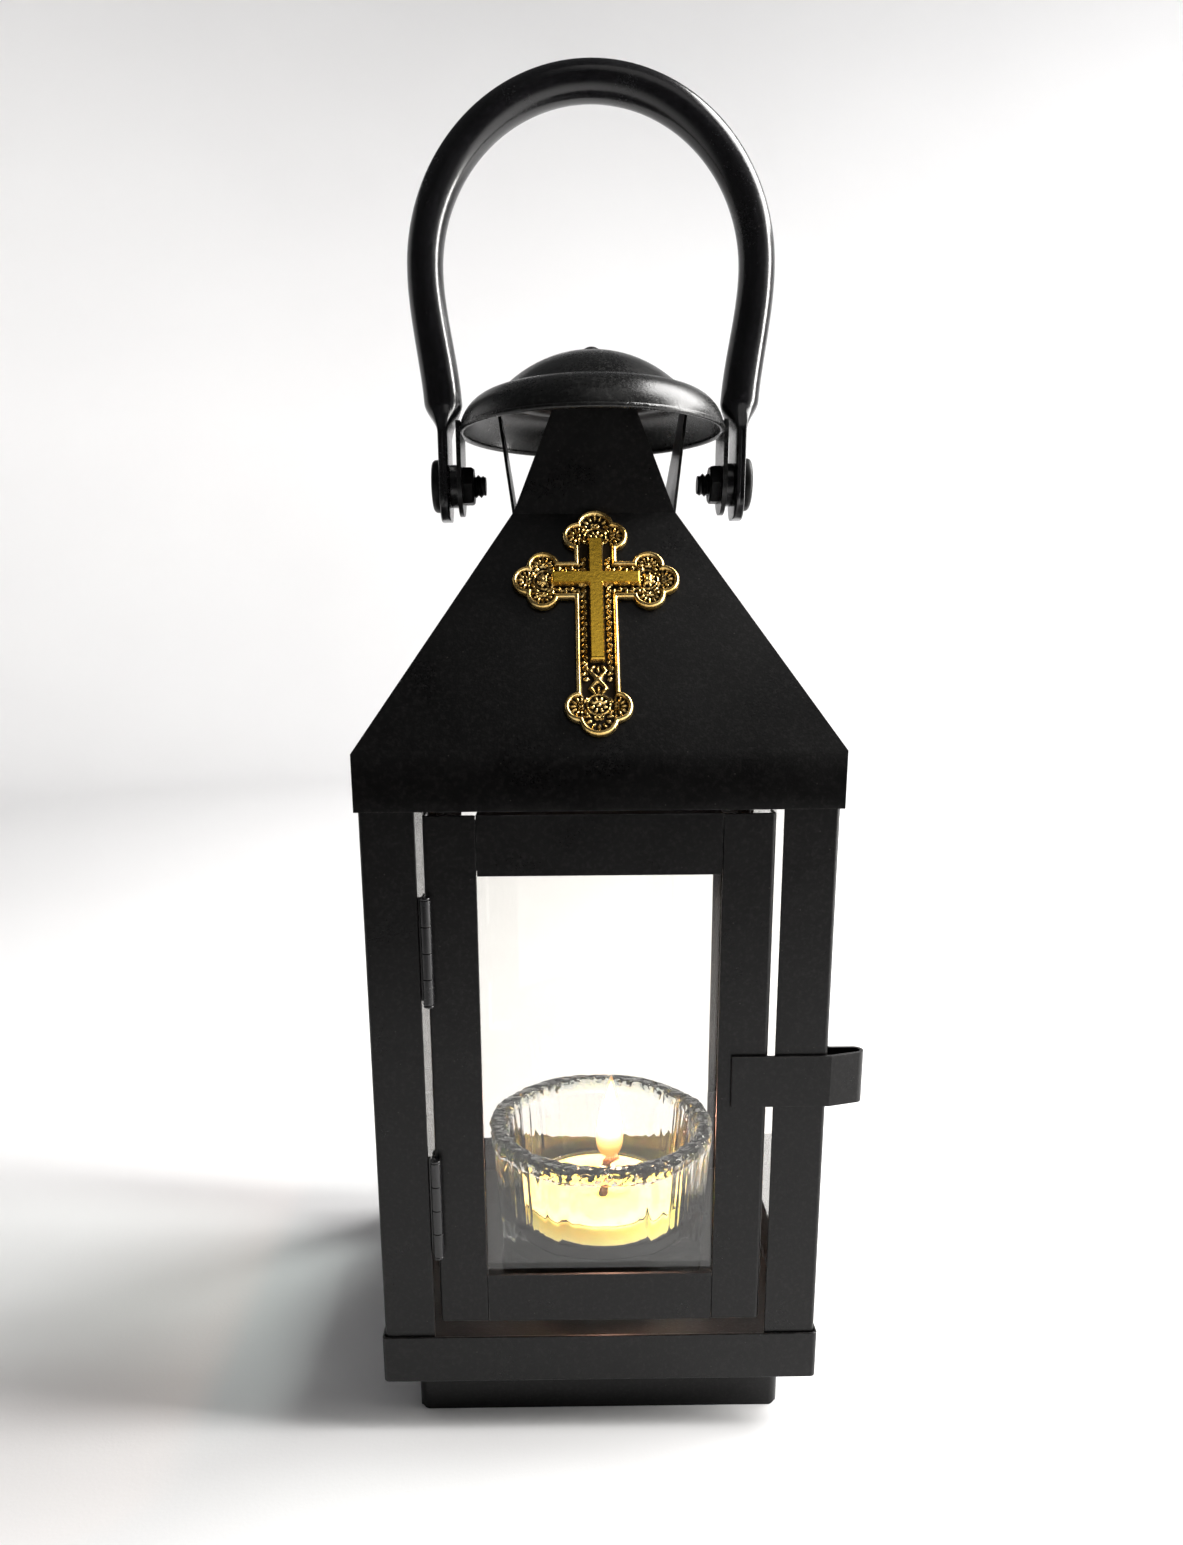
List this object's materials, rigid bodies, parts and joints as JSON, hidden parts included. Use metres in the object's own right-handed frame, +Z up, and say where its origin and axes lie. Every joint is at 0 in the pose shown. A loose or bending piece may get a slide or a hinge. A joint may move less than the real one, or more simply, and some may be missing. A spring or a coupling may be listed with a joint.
{
  "type": "candle lantern",
  "caption": "Black sheet-metal candle lantern with glazed sides, a hinged door with a spring clasp, a vented cap, a swinging bail, a gold cross and a tealight in a glass cup.",
  "frame": {"origin": "middle of the foot's underside, on the surface the lantern stands on", "axes": "+Z up, the door faces -Y, the hinges are on the -X side and the clasp on the +X side"},
  "size_m": [0.1036, 0.098, 0.2911],
  "materials": {
    "black_paint": "satin black powder coat",
    "black_fittings": "semi-gloss black",
    "pane_glass": "clear float glass",
    "cup_glass": "clear pressed glass",
    "clear_shell": "clear moulded plastic",
    "wax": "warm translucent wax",
    "wick": "charred cotton",
    "tin": "thin pressed sheet",
    "gold_cast": "antique gold with dark recesses",
    "flame": "candle flame"
  },
  "bodies": {
    "lantern": {"foot_pan": "black_paint", "base_tray": "black_paint", "post_front_left": "black_paint", "post_front_right": "black_paint", "post_rear_left": "black_paint", "post_rear_right": "black_paint", "roof_shell": "black_paint", "cap": "black_paint", "cap_rivet": "black_paint", "glass_left": "pane_glass", "glass_right": "pane_glass", "glass_rear": "pane_glass", "glass_clips_left": "black_fittings", "glass_clips_right": "black_fittings", "glass_clips_rear": "black_fittings", "hinge_upper_post_leaf": "black_fittings", "hinge_upper_pin": "black_fittings", "hinge_lower_post_leaf": "black_fittings", "hinge_lower_pin": "black_fittings", "bail_screw_left": "black_fittings", "bail_screw_right": "black_fittings", "bail_spacer_left": "black_fittings", "bail_spacer_right": "black_fittings", "bail_nut_left": "black_fittings", "bail_nut_right": "black_fittings", "cross_plate": "gold_cast", "cross_face": "gold_cast"},
    "door": {"door_stile_left": "black_paint", "door_stile_right": "black_paint", "door_rail_top": "black_paint", "door_rail_bottom": "black_paint", "door_glass": "pane_glass", "door_glass_clips": "black_fittings", "hinge_upper_door_leaf": "black_fittings", "hinge_lower_door_leaf": "black_fittings"},
    "clasp": {"clasp_strip": "black_paint"},
    "bail": {"bail_handle": "black_paint"},
    "cup": {"cup": "cup_glass"},
    "tealight": {"tealight_shell": "clear_shell", "tealight_wax": "wax", "wick_holder": "tin", "wick": "wick"}
  },
  "joints": [
    {"name": "door_hinge", "type": "hinge", "parent": "lantern", "child": "door", "pos_m": [-0.0347, -0.0488, 0.084], "axis": [0, 0, -1], "range_deg": [0, 170]},
    {"name": "clasp_flex", "type": "hinge", "parent": "door", "child": "clasp", "pos_m": [0.02765, -0.04795, 0.0836], "axis": [0, 0, -1], "range_deg": [0, 8], "stiffness_Nm_per_rad": 0.6},
    {"name": "bail_swing", "type": "hinge", "parent": "lantern", "child": "bail", "pos_m": [0, 0, 0.2074], "axis": [1, 0, 0], "range_deg": [-125, 125]},
    {"name": "cup_lift", "type": "slide", "parent": "lantern", "child": "cup", "axis": [0, 0, 1], "range_m": [0, 0.085]},
    {"name": "tealight_lift", "type": "slide", "parent": "cup", "child": "tealight", "axis": [0, 0, 1], "range_m": [0, 0.045]}
  ]
}
